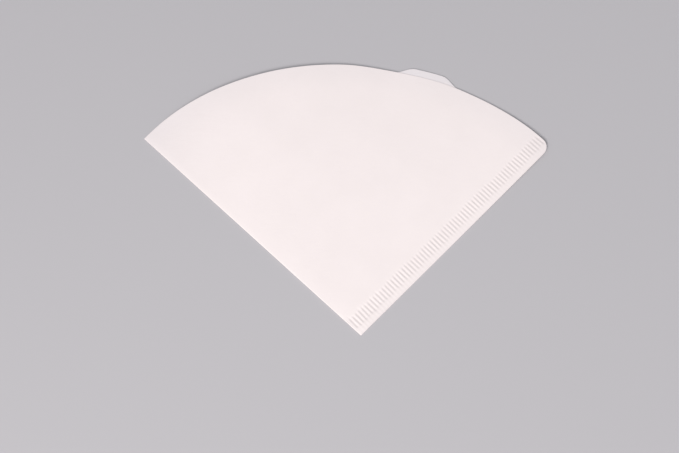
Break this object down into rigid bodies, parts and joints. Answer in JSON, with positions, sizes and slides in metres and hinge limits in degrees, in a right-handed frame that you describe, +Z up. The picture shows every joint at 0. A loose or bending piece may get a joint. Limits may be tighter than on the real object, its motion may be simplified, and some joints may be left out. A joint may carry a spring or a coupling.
{
  "type": "paper coffee filter",
  "caption": "Flat-folded paper cone filter with a crimped seam on one straight side, a fold on the other, an open round rim and a pull tab.",
  "frame": {"origin": "middle of the sheet's bounding box, on the surface that the back ply lies on", "axes": "+Z up off the surface, +Y from the tip of the cone to the round rim, +X from the folded side to the seam side"},
  "size_m": [0.1734, 0.1266, 0.0024],
  "materials": {
    "filter_paper": "matt, uncoated, finely creped"
  },
  "bodies": {
    "root": {"folded_filter": "filter_paper"}
  },
  "joints": []
}
